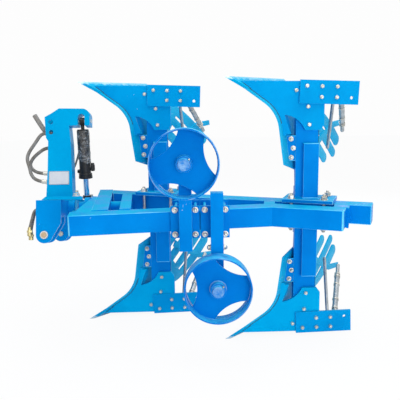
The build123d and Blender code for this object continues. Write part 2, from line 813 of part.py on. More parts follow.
def hose(points, across, radius):
    """Hose along points (x, height) of the headstock's side view."""
    runs = [Vector(*b) - Vector(*a) for a, b in zip(points, points[1:])]
    bends = []
    for before, after in zip(runs, runs[1:]):
        half = radians(before.get_angle(after)) / 2
        bends.append(0.45 * min(before.length, after.length) / tan(half))
    with BuildPart() as tube_part:
        with BuildLine(HEAD.offset(-across)) as route:
            FilletPolyline(*points, radius=bends)
        start = route.wires()[0]
        with BuildSketch(Plane(origin=start @ 0, z_dir=start % 0)):
            Circle(radius)
        sweep()
    return tube_part.part


HOSES = [
    # name, across, radius, points
    (
        "hose_long",
        -15.0,
        HOSE_R,
        [
            (-777, 405), (-890, 420), (-930, 418), (-964, 366), (-1002, 312),
            (-1011, 272), (-996, 228), (-988, 188), (-964, 158), (-912, 144), (-892, 143),
        ],
    ),
    (
        "hose_short",
        13.0,
        HOSE_R,
        [
            (-770, 350), (-902, 347), (-950, 318), (-990, 280), (-1004, 243),
            (-984, 213), (-944, 196), (-892, 195),
        ],
    ),
    ("hose_sleeve", 10.0, SLEEVE_HOSE_R, [(-774, 392), (-880, 392), (-930, 452), (-976, 529)]),
]
for hose_name, across, radius, points in HOSES:
    save(hose(points, across, radius), hose_name)

# the block in the mast that both hoses screw into
with BuildPart() as valve_block:
    with BuildSketch(HEAD):
        with Locations((-832, 169)):
            Rectangle(118, 92)
    extrude(amount=MAST_GAP - SEAT, both=True)
save(valve_block.part, "valve_block")

# two quick couplers on short hoses below the mast
with BuildPart() as couplers:
    for across, drop in ((-168.0, 0.0), (-146.0, 22.0)):
        points = [(BASE_X0 - SEAT, -12), (-918, -12), (-932, -60), (-946, -118 - drop)]
        add(hose(points, across, 7.0))
        end = Plane(HEAD * Location((-944, -112 - drop, -across), (90, 0, 0)))
        with BuildSketch(end):
            Circle(12)
        extrude(amount=42)
        with BuildSketch(end.offset(12)):
            RegularPolygon(15, 6)
        extrude(amount=12)
save(couplers.part, "quick_couplers")
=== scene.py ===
import json
import math

import bpy
from mathutils import Matrix, Vector


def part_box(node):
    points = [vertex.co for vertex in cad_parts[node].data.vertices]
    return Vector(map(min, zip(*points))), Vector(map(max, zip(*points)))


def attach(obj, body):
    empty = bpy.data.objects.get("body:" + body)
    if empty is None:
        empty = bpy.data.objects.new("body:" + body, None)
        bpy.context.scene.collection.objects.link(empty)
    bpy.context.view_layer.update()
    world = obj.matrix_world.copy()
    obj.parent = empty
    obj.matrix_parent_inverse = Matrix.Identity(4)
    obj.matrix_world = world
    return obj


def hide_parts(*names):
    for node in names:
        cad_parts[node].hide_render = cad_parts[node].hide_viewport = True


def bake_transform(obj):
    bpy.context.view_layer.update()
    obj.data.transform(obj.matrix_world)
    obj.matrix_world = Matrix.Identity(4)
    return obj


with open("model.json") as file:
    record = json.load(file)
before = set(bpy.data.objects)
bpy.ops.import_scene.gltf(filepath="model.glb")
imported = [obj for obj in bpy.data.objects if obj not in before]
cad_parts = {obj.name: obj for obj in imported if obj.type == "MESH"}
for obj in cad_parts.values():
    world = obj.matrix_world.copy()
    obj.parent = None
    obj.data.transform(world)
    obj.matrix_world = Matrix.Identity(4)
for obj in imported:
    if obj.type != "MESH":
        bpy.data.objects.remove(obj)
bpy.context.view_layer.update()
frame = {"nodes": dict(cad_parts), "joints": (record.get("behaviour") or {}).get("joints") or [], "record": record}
nodes = frame["nodes"]
joints = {joint["name"]: joint for joint in frame["joints"]}

# Places are in metres from the front body's landside line, at the height of the turnover axis.
AXIS_HEIGHT = 0.695
DATUM = Vector((0.026, 0.090974, AXIS_HEIGHT))
# The turnover axis runs beside that line, and the headstock is rolled about it.
AXIS_ASIDE = -0.1
ROLL = math.radians(12.5)
# The step from the front bodies to the rear ones, which is also the run of the beams.
BODY_PITCH = Vector((0.8, -0.304, 0.0))
BEAM_ANGLE = math.atan2(BODY_PITCH.y, BODY_PITCH.x)
UP = Vector((0, 0, 1))
NEAR = Vector((0, -1, 0))


def place(x, y, z):
    """A point given from the datum."""
    return DATUM + Vector((x, y, z))


def head(x, across, height):
    """A point of the headstock, which is rolled about the turnover axis."""
    return place(
        x,
        AXIS_ASIDE + across * math.cos(ROLL) + height * math.sin(ROLL),
        height * math.cos(ROLL) - across * math.sin(ROLL),
    )


HEAD_NEAR = (head(0, -1, 0) - head(0, 0, 0)).normalized()
HEAD_UP = (head(0, 0, 1) - head(0, 0, 0)).normalized()


# ---- node helpers
def add_node(tree, kind, links=None, **values):
    """A shader node with its plain values and its incoming links."""
    node = tree.nodes.new(kind)
    for key, value in values.items():
        if hasattr(node, key):
            setattr(node, key, value)
        else:
            node.inputs[key.replace("_", " ")].default_value = value
    for socket, source in (links or {}).items():
        tree.links.new(source, node.inputs[socket])
    return node


def give(tree, source, socket):
    """Gives an input what another socket puts out, or a plain value."""
    if hasattr(source, "is_linked"):
        tree.links.new(source, socket)
    else:
        socket.default_value = source


def mix_colour(tree, factor, first, second):
    """Colour mix, each of whose inputs is a socket or a plain colour."""
    mix = add_node(tree, "ShaderNodeMix", data_type="RGBA")
    for index, source in ((0, factor), (6, first), (7, second)):
        give(tree, source, mix.inputs[index])
    return mix.outputs[2]


def sums(tree, operation, first, second):
    """One step of arithmetic between sockets or numbers."""
    step = add_node(tree, "ShaderNodeMath", operation=operation)
    give(tree, first, step.inputs[0])
    give(tree, second, step.inputs[1])
    return step.outputs[0]


def plus_share(tree, base, value, share):
    """The base with a share of the value added."""
    return sums(tree, "ADD", base, sums(tree, "MULTIPLY", value, share))


def away_from(tree, value, middle):
    """How far a value is from its middle, either way."""
    return sums(tree, "ABSOLUTE", sums(tree, "SUBTRACT", value, middle), 0.0)


def band(tree, value, low, high):
    """Value brought to 0 at low and 1 at high."""
    step = add_node(tree, "ShaderNodeMapRange", {"Value": value}, From_Min=low, From_Max=high)
    return step.outputs["Result"]


def noise(tree, vector, scale, **values):
    """The value of a noise texture."""
    texture = add_node(tree, "ShaderNodeTexNoise", {"Vector": vector}, **values)
    give(tree, scale, texture.inputs["Scale"])
    return texture.outputs[0]


def effect(name, amounts, results):
    """An empty node group that takes a vector and some amounts, with the sockets of its two ends."""
    group = bpy.data.node_groups.new(name, "ShaderNodeTree")
    group.interface.new_socket(name="Vector", in_out="INPUT", socket_type="NodeSocketVector")
    for label, value in amounts.items():
        socket = group.interface.new_socket(name=label, in_out="INPUT", socket_type="NodeSocketFloat")
        socket.default_value = value
    for label in results:
        group.interface.new_socket(name=label, in_out="OUTPUT", socket_type="NodeSocketFloat")
    return group, group.nodes.new("NodeGroupInput").outputs, group.nodes.new("NodeGroupOutput").inputs


def build_cloud():
    """Soft patches in a coat: a mask of slow drift with finer flecks in it."""
    amounts = {"Patch Scale": 6.0, "Fleck Scale": 90.0}
    group, given, result = effect("uneven coat", amounts, ["Patches", "Flecks"])
    slow = noise(group, given["Vector"], given["Patch Scale"], Detail=4.0)
    fine = noise(group, given["Vector"], given["Fleck Scale"], Detail=3.0)
    group.links.new(band(group, slow, 0.35, 0.65), result["Patches"])
    group.links.new(band(group, fine, 0.35, 0.65), result["Flecks"])
    return group


def build_chips():
    """Small chips and rubs where the coat is gone."""
    group, given, result = effect("chips and rubs", {"Scale": 60.0, "Amount": 0.1}, ["Bare"])
    chip = noise(group, given["Vector"], given["Scale"], Detail=6.0, Roughness=0.65)
    wide = noise(group, given["Vector"], 5.0)
    both = plus_share(group, chip, wide, 0.5)
    edge = sums(group, "SUBTRACT", 1.12, given["Amount"])
    over = sums(group, "SUBTRACT", both, edge)
    group.links.new(band(group, over, 0.0, 0.04), result["Bare"])
    return group


def build_peel():
    """Fine height of a sprayed, cast or brushed surface."""
    group, given, result = effect("surface grain", {"Scale": 350.0, "Coarse": 0.3}, ["Height"])
    fine = noise(group, given["Vector"], given["Scale"], Detail=2.0)
    wave = noise(group, given["Vector"], 38.0)
    group.links.new(plus_share(group, fine, wave, given["Coarse"]), result["Height"])
    return group


def build_dust_and_top_light():
    """Pale dust that lies on faces that look up, and painted light on those same faces."""
    group, given, result = effect("settled dust", {"Upward": 0.0, "Amount": 0.3}, ["Dust"])
    drift = noise(group, given["Vector"], 14.0, Detail=5.0)
    dust_and_lit_top = band(group, given["Upward"], 0.25, 0.95)
    thin = sums(group, "MULTIPLY", band(group, drift, 0.2, 0.55), given["Amount"])
    group.links.new(sums(group, "MULTIPLY", dust_and_lit_top, thin), result["Dust"])
    return group


CLOUD = build_cloud()
CHIPS = build_chips()
PEEL = build_peel()
DUST_AND_TOP_LIGHT = build_dust_and_top_light()


def use(tree, group, vector, **values):
    """One of the shared effects, placed in a material."""
    node = tree.nodes.new("ShaderNodeGroup")
    node.node_tree = group
    tree.links.new(vector, node.inputs["Vector"])
    for key, value in values.items():
        give(tree, value, node.inputs[key.replace("_", " ")])
    return node.outputs


def new_material(name):
    """A material with its shader, object coordinates and upward slope ready."""
    material = bpy.data.materials.new(name)
    material.use_nodes = True
    tree = material.node_tree
    shader = tree.nodes["Principled BSDF"]
    coordinates = tree.nodes.new("ShaderNodeTexCoord").outputs["Object"]
    normal = tree.nodes.new("ShaderNodeNewGeometry").outputs["Normal"]
    upward = add_node(tree, "ShaderNodeSeparateXYZ", {0: normal}).outputs[2]
    return material, tree, shader, coordinates, upward


def grain(tree, shader, coordinates, scale, coarse, depth):
    """Fine bump into the shader's normal."""
    height = use(tree, PEEL, coordinates, Scale=scale, Coarse=coarse)["Height"]
    bump = add_node(tree, "ShaderNodeBump", {"Height": height}, Strength=1.0, Distance=depth)
    tree.links.new(bump.outputs[0], shader.inputs["Normal"])


STEEL = (0.48, 0.66, 0.76, 1)
# The lighter blue that faces looking up are mixed towards: painted top light, with some dust.
DUST_AND_LIT_TOP_BLUE = (0.0, 0.44, 0.70, 1)
BLUE_SHEEN = (0.05, 0.62, 1, 1)
# How a paint that isn't blue takes dust and painted top light, and the tint of its sheen.
PLAIN_LOOK = {"top": (0.55, 0.56, 0.56, 1), "tint": (1, 1, 1, 1)}


def paint(name, colour, deep, gloss, bare=0.11, top_dust_and_light=0.9, wear_and_glints=None, top=DUST_AND_LIT_TOP_BLUE, tint=BLUE_SHEEN):
    """Sprayed paint: patches, chips down to steel, a top lightened by dust and painted top light, and what an
    extra mask adds to the chips: wear, and on the wheels painted glints.
    """
    material, tree, shader, coordinates, upward = new_material(name)
    coat = use(tree, CLOUD, coordinates, Patch_Scale=5.0, Fleck_Scale=120.0)
    tone = mix_colour(tree, coat["Patches"], deep, colour)
    chips = use(tree, CHIPS, coordinates, Scale=70.0, Amount=bare)["Bare"]
    if wear_and_glints:
        chips = sums(tree, "MAXIMUM", chips, wear_and_glints(tree, coordinates))
    coated = mix_colour(tree, chips, tone, STEEL)
    dust_and_lit_top = use(tree, DUST_AND_TOP_LIGHT, coordinates, Upward=upward, Amount=top_dust_and_light)["Dust"]
    tree.links.new(mix_colour(tree, dust_and_lit_top, coated, top), shader.inputs["Base Color"])
    tree.links.new(sums(tree, "MULTIPLY", chips, 0.75), shader.inputs["Metallic"])
    rough = plus_share(tree, gloss, coat["Flecks"], 0.08)
    tree.links.new(plus_share(tree, rough, dust_and_lit_top, 0.4), shader.inputs["Roughness"])
    shader.inputs["Specular IOR Level"].default_value = 0.2
    shader.inputs["Specular Tint"].default_value = tint
    grain(tree, shader, coordinates, 420.0, 0.6, 0.0004)
    return material


def metal(name, colour, dark, rough, scale=260.0, depth=0.0003, metallic=0.9):
    """Bare or plated metal with light staining."""
    material, tree, shader, coordinates, _ = new_material(name)
    coat = use(tree, CLOUD, coordinates, Patch_Scale=22.0, Fleck_Scale=scale)
    stain = sums(tree, "MULTIPLY", coat["Patches"], coat["Flecks"])
    tree.links.new(mix_colour(tree, stain, colour, dark), shader.inputs["Base Color"])
    tree.links.new(plus_share(tree, rough, stain, 0.22), shader.inputs["Roughness"])
    shader.inputs["Metallic"].default_value = metallic
    grain(tree, shader, coordinates, scale * 2, 0.2, depth)
    return material


def cutting_edge(tree, coordinates):
    """Bare steel along the share edges, at the floor and at the very top."""
    height = add_node(tree, "ShaderNodeSeparateXYZ", {0: coordinates}).outputs[2]
    away = away_from(tree, height, AXIS_HEIGHT)
    ragged = noise(tree, coordinates, 45.0, Detail=5.0)
    return band(tree, plus_share(tree, away, ragged, 0.03), AXIS_HEIGHT - 0.001, AXIS_HEIGHT + 0.009)


def rubbed(tree, coordinates):
    """Scuffed streaks along the slats and the shin."""
    stretch = add_node(tree, "ShaderNodeMapping", {"Vector": coordinates}, Scale=(3.0, 3.0, 26.0))
    streak = noise(tree, stretch.outputs[0], 3.4, Detail=8.0, Roughness=0.7)
    return sums(tree, "MULTIPLY", band(tree, streak, 0.6, 0.72), 0.7)


def hub_and_rim_glints(node):
    """Painted highlights on a wheel, on its hub's cap and here and there round its rim, as spots of bare steel."""
    low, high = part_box(node)
    middle = [(a + b) / 2 for a, b in zip(low, high)]
    radius = (high[2] - low[2]) / 2

    def wear_and_glints(tree, coordinates):
        centred = {"Scale": (1, 0, 1), "Location": (-middle[0], 0, -middle[2])}
        flat = add_node(tree, "ShaderNodeMapping", {"Vector": coordinates}, **centred)
        length = add_node(tree, "ShaderNodeVectorMath", {0: flat.outputs[0]}, operation="LENGTH")
        away = length.outputs["Value"]
        ragged = band(tree, noise(tree, coordinates, 42.0, Detail=4.0), 0.38, 0.62)
        hub = sums(tree, "MULTIPLY", band(tree, away, 0.034, 0.026), ragged)
        broad = band(tree, noise(tree, coordinates, 9.0), 0.48, 0.58)
        rim = sums(tree, "MULTIPLY", band(tree, away, radius - 0.0055, radius - 0.002), broad)
        return sums(tree, "MULTIPLY", sums(tree, "MAXIMUM", hub, rim), 0.4)

    return wear_and_glints


BLUE = paint("frame blue", (0.0, 0.248, 0.735, 1), (0.0, 0.205, 0.66, 1), 0.30)
MAST_BLUE = paint("mast blue", (0.0, 0.385, 0.73, 1), (0.0, 0.34, 0.68, 1), 0.30)
PLATE_BLUE = paint("hitch plate blue", (0.0, 0.275, 0.72, 1), (0.0, 0.245, 0.66, 1), 0.30)
# A lighter top still for the wheels: painted light on upward faces that lie in the beams' shade.
WHEEL_DUST_AND_LIT_TOP = (0.05, 0.58, 0.90, 1)
WHEEL_BLUE, LOW_WHEEL_BLUE = [
    paint(name, (0.0, 0.20, 0.65, 1), (0.0, 0.16, 0.58, 1), 0.26, wear_and_glints=hub_and_rim_glints(node), top=WHEEL_DUST_AND_LIT_TOP)
    for name, node in (("upper wheel blue", "wheel_upper"), ("lower wheel blue", "wheel_lower"))
]
FROG_BLUE = paint("frog blue", (0.0, 0.43, 0.80, 1), (0.0, 0.36, 0.72, 1), 0.32)
# The landside's own blue, which the upper frogs also wear as painted shade.
SIDE_AND_FROG_SHADE_BLUE = paint("landside blue", (0.0, 0.34, 0.74, 1), (0.0, 0.28, 0.66, 1), 0.32)
BOARD_BLUE = paint("mouldboard blue", (0.02, 0.45, 0.74, 1), (0.0, 0.36, 0.66, 1), 0.32, wear_and_glints=rubbed)
SHARE_BLUE = paint("share blue", (0.0, 0.38, 0.70, 1), (0.0, 0.30, 0.60, 1), 0.32, wear_and_glints=cutting_edge)
ZINC = metal("zinc plate", (0.66, 0.65, 0.60, 1), (0.36, 0.32, 0.24, 1), 0.34)
ROD_STEEL = metal("strut steel", (0.46, 0.50, 0.52, 1), (0.20, 0.22, 0.23, 1), 0.34)
CHROME = metal("chrome", (0.74, 0.80, 0.90, 1), (0.52, 0.60, 0.76, 1), 0.08, depth=0.00005, metallic=1.0)
BRASS = metal("yellow brass", (0.62, 0.52, 0.26, 1), (0.34, 0.27, 0.11, 1), 0.34)
PLATE = metal(
    "blank plate", (0.66, 0.68, 0.72, 1), (0.56, 0.59, 0.64, 1), 0.42, depth=0.0001, metallic=0.35
)
BLACK = paint(
    "cylinder black", (0.032, 0.030, 0.028, 1), (0.016, 0.015, 0.014, 1), 0.3, 0.12, 0.3, **PLAIN_LOOK
)
# Lighter blues given to the rounded edges: painted highlights.
EDGE_HIGHLIGHT_BLUE = paint("edge blue", (0.24, 0.72, 0.93, 1), (0.05, 0.50, 0.86, 1), 0.26, 0.14)
WHEEL_EDGE_HIGHLIGHT = paint("wheel edge blue", (0.34, 0.74, 0.93, 1), (0.04, 0.44, 0.82, 1), 0.26, 0.2)
TAN = paint("pin end tan", (0.62, 0.46, 0.30, 1), (0.50, 0.34, 0.20, 1), 0.5, 0.02, 0.1, **PLAIN_LOOK)
RING_WHITE = paint(
    "ring white", (0.84, 0.85, 0.84, 1), (0.70, 0.72, 0.72, 1), 0.45, 0.02, 0.1, **PLAIN_LOOK
)


def wrapping():
    """Thin black film, with painted highlights along its creases."""
    material, tree, shader, coordinates, _ = new_material("black film")
    bend = noise(tree, coordinates, 26.0, Distortion=2.2, Detail=3.0)
    crease = band(tree, away_from(tree, bend, 0.5), 0.05, 0.006)
    coat = use(tree, CLOUD, coordinates, Patch_Scale=20.0, Fleck_Scale=160.0)
    crease_highlight = sums(tree, "MULTIPLY", crease, coat["Patches"])
    dull = mix_colour(tree, coat["Flecks"], (0.020, 0.018, 0.017, 1), (0.075, 0.070, 0.066, 1))
    tree.links.new(mix_colour(tree, crease_highlight, dull, (0.66, 0.65, 0.64, 1)), shader.inputs["Base Color"])
    tree.links.new(plus_share(tree, 0.2, coat["Flecks"], 0.2), shader.inputs["Roughness"])
    bump = add_node(tree, "ShaderNodeBump", {"Height": bend}, Distance=0.004)
    tree.links.new(bump.outputs[0], shader.inputs["Normal"])
    return material


FILM = wrapping()


def rubber(name, colour):
    """Wrapped hose rubber with a fine cloth grain and dusty patches."""
    material, tree, shader, coordinates, _ = new_material(name)
    coat = use(tree, CLOUD, coordinates, Patch_Scale=30.0, Fleck_Scale=500.0)
    dusty = tuple(0.55 * c + 0.16 for c in colour[:3]) + (1,)
    tree.links.new(mix_colour(tree, coat["Patches"], colour, dusty), shader.inputs["Base Color"])
    tree.links.new(plus_share(tree, 0.55, coat["Flecks"], 0.2), shader.inputs["Roughness"])
    grain(tree, shader, coordinates, 700.0, 0.1, 0.0006)
    return material


HOSE = rubber("hose rubber", (0.15, 0.135, 0.115, 1))
SLEEVE = rubber("hose sleeve", (0.24, 0.225, 0.20, 1))
SEAM = metal("joint shadow", (0.02, 0.05, 0.08, 1), (0.01, 0.02, 0.03, 1), 0.7, metallic=0.0)

LOOKS = {
    "zinc": ZINC,
    "grey_steel": ROD_STEEL,
    "chrome": CHROME,
    "black_paint": BLACK,
    "hose_rubber": HOSE,
    "brass": BRASS,
    "plate_aluminium": PLATE,
    "blue_paint": BLUE,
    "share_steel": SHARE_BLUE,
}
slot_of = {part["node"]: part["material_slot"] for part in frame["record"]["subparts"]}
for node, piece in nodes.items():
    look = LOOKS[slot_of[node]]
    if node in ("wheel_upper", "wheel_lower"):
        look = WHEEL_BLUE if node == "wheel_upper" else LOW_WHEEL_BLUE
    for ending, coat in (("mouldboard", BOARD_BLUE), ("frog", FROG_BLUE), ("landside", SIDE_AND_FROG_SHADE_BLUE)):
        if node.endswith(ending):
            look = coat
    # The upper frogs take the darker landside blue as painted shade, being lit more brightly than the lower ones.
    if node.endswith("upper_frog"):
        look = SIDE_AND_FROG_SHADE_BLUE
    if node == "mast" or node.startswith("turnover_stop"):
        look = MAST_BLUE
    if node.startswith(("headstock", "hitch_plates")):
        look = PLATE_BLUE
    piece.data.materials.clear()
    piece.data.materials.append(look)


def soften(node, width, edge_highlight=EDGE_HIGHLIGHT_BLUE):
    """Rounds a CAD node's edges, as its maker's grinder and paint do, and gives the rounds a lighter blue as a
    painted highlight.
    """
    piece = nodes[node]
    piece.data.materials.append(edge_highlight)
    weld = piece.modifiers.new("joined", "WELD")
    weld.merge_threshold = 0.00003
    edge = piece.modifiers.new("rounded edges", "BEVEL")
    edge.width = width
    edge.segments = 2
    edge.limit_method = "ANGLE"
    edge.angle_limit = math.radians(40)
    edge.use_clamp_overlap = True
    edge.material = 1


# ---- rounded edges of the solids, in a lighter blue as painted highlights
BODIES = [
    # name, pitches back, which way is up
    ("front_lower", 0, 1),
    ("rear_lower", 1, 1),
    ("front_upper", 0, -1),
    ("rear_upper", 1, -1),
]
EDGE_RADII = {
    0.006: ["beam_far", "beam_near", "cross_front"],
    0.005: ["cross_rear", "wheel_arm_upper", "wheel_arm_lower"],
    0.003: ["yoke"] + [body + "_leg" for body, _, _ in BODIES],
    0.002: ["mast", "stop_lug", "valve_block", "wheel_saddle_upper", "wheel_saddle_lower"],
    0.0015: ["hitch_plates_near", "hitch_plates_far", "turnover_stop_near", "turnover_stop_far"],
}
PLATE_EDGE = 0.0016
WHEEL_EDGE_WIDTH = 0.0028
for width, softened in EDGE_RADII.items():
    for node in softened:
        soften(node, width)
for body, _, _ in BODIES:
    for plate in ("_frog", "_landside", "_mouldboard"):
        soften(body + plate, PLATE_EDGE)
for node in ("wheel_upper", "wheel_lower"):
    soften(node, WHEEL_EDGE_WIDTH, WHEEL_EDGE_HIGHLIGHT)


# ---- modelling helpers
def clear():
    """Selects nothing."""
    bpy.ops.object.select_all(action="DESELECT")


def choose(piece):
    """Selects one object alone."""
    clear()
    piece.select_set(True)
    bpy.context.view_layer.objects.active = piece


def started(name):
    """The primitive just added, under its own name."""
    piece = bpy.context.active_object
    piece.name = name
    piece.data.name = name
    return piece


def pick(piece, test):
    """In edit mode, only the faces that pass the test on centre and normal."""
    bpy.ops.object.mode_set(mode="EDIT")
    bpy.ops.mesh.select_mode(type="FACE")
    bpy.ops.mesh.select_all(action="DESELECT")
    bpy.ops.object.mode_set(mode="OBJECT")
    for face in piece.data.polygons:
        face.select = test(face.center, face.normal)
    bpy.ops.object.mode_set(mode="EDIT")


def done(piece, angle=35):
    """Back in object mode, with its place in its mesh and its soft faces smooth."""
    bpy.ops.object.mode_set(mode="OBJECT")
    bpy.ops.object.transform_apply(location=True, rotation=True, scale=True)
    bpy.ops.object.shade_smooth_by_angle(angle=math.radians(angle))
    return piece


def disc(name, radius, height, sides=32, bevel=0.0, base=0.0):
    """A round or many-sided boss from z = base, with its upper rim rounded."""
    clear()
    bpy.ops.mesh.primitive_cylinder_add(
        vertices=sides, radius=radius, depth=height, location=(0, 0, base + height / 2)
    )
    piece = started(name)
    if bevel:
        pick(piece, lambda centre, normal: normal.z > 0.9)
        bpy.ops.mesh.bevel(offset=bevel, segments=3, affect="EDGES")
    return done(piece)


def join(name, pieces):
    """Several pieces made one."""
    clear()
    for piece in pieces:
        piece.select_set(True)
    bpy.context.view_layer.objects.active = pieces[0]
    bpy.ops.object.join()
    return started(name)


def hexagon(name, radius, height, base=0.0):
    """Hexagon nut or head with its chamfered top."""
    clear()
    bpy.ops.mesh.primitive_cylinder_add(
        vertices=6, radius=radius, depth=height * 0.86, location=(0, 0, base + height * 0.43)
    )
    piece = started(name)
    pick(piece, lambda centre, normal: normal.z > 0.9)
    bpy.ops.mesh.inset(thickness=radius * 0.09, depth=height * 0.14)
    bpy.ops.mesh.inset(thickness=radius * 0.07, depth=-height * 0.03)
    return done(piece, 25)


THREAD_PITCH = 0.0024
WASHER_THICK = 0.003


def threaded(name, radius, height, base=0.0):
    """Threaded end of a bolt, in ridges."""
    clear()
    bpy.ops.mesh.primitive_circle_add(vertices=20, radius=radius, fill_type="NGON", location=(0, 0, base))
    piece = started(name)
    bpy.ops.object.mode_set(mode="EDIT")
    ridges = max(2, round(height / THREAD_PITCH))
    for _ in range(ridges):
        for factor in (0.9, 1 / 0.9):
            half = (0, 0, height / ridges / 2)
            bpy.ops.mesh.extrude_region_move(TRANSFORM_OT_translate={"value": half})
            bpy.ops.transform.resize(value=(factor, factor, 1))
    bpy.ops.mesh.inset(thickness=radius * 0.15, depth=radius * 0.12)
    bpy.ops.object.mode_set(mode="OBJECT")
    return done(piece, 50)


def nut_master(name, radius, height, stub):
    """A washer, its nut and the bolt's end that stands out of it."""
    washer = disc(name + "_washer", radius * 1.22, WASHER_THICK, 28, 0.0008)
    nut = hexagon(name + "_nut", radius, height, WASHER_THICK)
    end = threaded(name + "_end", radius * 0.52, stub, height + WASHER_THICK - 0.0002)
    return join(name, [washer, nut, end])


def facing(point, direction, spin=0.0):
    """The matrix that stands a master, made along +Z, on a point."""
    turn = Vector(direction).to_track_quat("Z", "Y").to_matrix().to_4x4()
    return Matrix.Translation(point) @ turn @ Matrix.Rotation(spin, 4, "Z")


masters = []


def copies(master, name, places, body, material):
    """One piece from copies of a master's mesh, each with its own place."""
    if master not in masters:
        masters.append(master)
    made = []
    for number, matrix in enumerate(places):
        mesh = master.data.copy()
        mesh.transform(matrix)
        copy = bpy.data.objects.new(f"{name}_{number}", mesh)
        bpy.context.scene.collection.objects.link(copy)
        made.append(copy)
    piece = join(name, made) if len(made) > 1 else made[0]
    piece.name = name
    finish_piece(piece, body, material)
    return piece


def finish_piece(piece, body, material):
    """Material, slot and body of a new piece."""
    piece.data.materials.clear()
    piece.data.materials.append(material)
    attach(piece, body)


def drawn(name, spots, radius, rounding, closed=False, swell=None):
    """A bar along straight steps between its spots, its radius times swell(number) at each."""
    curve = bpy.data.curves.new(name, "CURVE")
    curve.dimensions = "3D"
    line = curve.splines.new("POLY")
    line.points.add(len(spots) - 1)
    for number, (point, spot) in enumerate(zip(line.points, spots)):
        point.co = (*spot, 1)
        if swell:
            point.radius = swell(number)
    line.use_cyclic_u = closed
    curve.bevel_depth = radius
    curve.bevel_resolution = rounding
    curve.use_fill_caps = not closed
    piece = bpy.data.objects.new(name, curve)
    bpy.context.scene.collection.objects.link(piece)
    choose(piece)
    bpy.ops.object.convert(target="MESH")
    return piece


def tube(name, inner, outer, height, sides=48, rings=1):
    """A short open tube from z = 0, with a wall."""
    clear()
    bpy.ops.mesh.primitive_circle_add(vertices=sides, radius=inner, fill_type="NOTHING")
    piece = started(name)
    bpy.ops.object.mode_set(mode="EDIT")
    bpy.ops.mesh.select_all(action="SELECT")
    for _ in range(rings):
        bpy.ops.mesh.extrude_edges_move(TRANSFORM_OT_translate={"value": (0, 0, height / rings)})
    bpy.ops.mesh.select_all(action="SELECT")
    bpy.ops.mesh.normals_make_consistent(inside=False)
    bpy.ops.object.mode_set(mode="OBJECT")
    wall = piece.modifiers.new("wall", "SOLIDIFY")
    wall.thickness = outer - inner
    wall.offset = 1 if piece.data.polygons[0].normal.dot(piece.data.polygons[0].center) > 0 else -1
    bpy.ops.object.modifier_apply(modifier="wall")
    return done(piece)


# ---- clamp bolts on the beams
# The last number given to a nut's facing() is its turn, so that no two stand quite alike.
FLANGE_FACE = 0.0706
SHANK_LENGTH = 0.142
CLAMP_NUT = nut_master("clamp_nut", 0.0165, 0.015, 0.009)
SHANK = disc("clamp_shank", 0.009, SHANK_LENGTH, 20)
FLANGE_PLACE = Vector((-0.262, 0.034, 0))
for name, pitches_back in (("front_clamp_bolts", 0), ("rear_clamp_bolts", 1)):
    places = []
    shanks = []
    for along in (-0.084, 0.084):
        for across in (-0.068, 0.068):
            spot = Vector((along, across, 0))
            spot.rotate(Matrix.Rotation(BEAM_ANGLE, 3, "Z"))
            centre = place(*(FLANGE_PLACE + spot)) + BODY_PITCH * pitches_back
            places.append(facing(centre + UP * FLANGE_FACE, UP, 0.3 + along * 9))
            places.append(facing(centre - UP * FLANGE_FACE, -UP, 0.7 - along * 5))
            shanks.append(facing(centre - UP * SHANK_LENGTH / 2, UP))
    nuts = copies(CLAMP_NUT, name + "_nuts", places, "frame", ZINC)
    rods = copies(SHANK, name + "_shanks", shanks, "frame", ZINC)
    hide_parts(name)
    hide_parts(name)

# ---- hoses
HOSE_ROUTES = [
    # name, across, diameter, finish, route (x, height) in the headstock
    ("hose_long", -0.015, 0.019, HOSE,
     [(-0.777, 0.405), (-0.890, 0.420), (-0.930, 0.418), (-0.964, 0.366), (-1.002, 0.312), (-1.011, 0.272),
      (-0.996, 0.228), (-0.988, 0.188), (-0.964, 0.158), (-0.912, 0.144), (-0.892, 0.143)]),
    ("hose_short", 0.013, 0.019, HOSE,
     [(-0.770, 0.350), (-0.902, 0.347), (-0.950, 0.318), (-0.990, 0.280), (-1.004, 0.243), (-0.984, 0.213),
      (-0.944, 0.196), (-0.892, 0.195)]),
    ("hose_sleeve", 0.010, 0.026, SLEEVE,
     [(-0.774, 0.392), (-0.880, 0.392), (-0.930, 0.452), (-0.976, 0.529)]),
]


def hose(name, points, diameter, material, body="headstock"):
    """A hose on one smooth line through its route's points."""
    curve = bpy.data.curves.new(name, "CURVE")
    curve.dimensions = "3D"
    line = curve.splines.new("NURBS")
    line.points.add(len(points) - 1)
    for point, spot in zip(line.points, points):
        point.co = (*spot, 1)
    line.order_u = 3
    line.use_endpoint_u = True
    line.resolution_u = 12
    curve.bevel_depth = diameter / 2
    curve.bevel_resolution = 6
    curve.use_fill_caps = True
    piece = bpy.data.objects.new(name, curve)
    bpy.context.scene.collection.objects.link(piece)
    piece.data.materials.append(material)
    if body:
        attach(piece, body)
    return piece


def smooth_length(points, steps=400):
    """Length of the smooth line that the route's points steer."""
    count = len(points)
    knots = [0] * 3 + list(range(1, count - 2)) + [count - 2] * 3

    def at(t):
        k = min(int(t), count - 3) + 2
        d = [points[j + k - 2].copy() for j in range(3)]
        for r in (1, 2):
            for j in range(2, r - 1, -1):
                low = knots[j + k - 2]
                high = knots[j + 1 + k - r]
                blend = (t - low) / (high - low)
                d[j] = d[j - 1] * (1 - blend) + d[j] * blend
        return d[2]

    line = [at((count - 2) * i / steps) for i in range(steps + 1)]
    return sum((b - a).length for a, b in zip(line, line[1:]))


def own_line(piece):
    """Points that a hose's own smooth line passes through."""
    bare = piece.data.copy()
    bare.bevel_depth = 0
    holder = bpy.data.objects.new("route", bare)
    mesh = bpy.data.meshes.new_from_object(holder)
    points = [vertex.co.copy() for vertex in mesh.vertices]
    bpy.data.objects.remove(holder)
    bpy.data.curves.remove(bare)
    return points


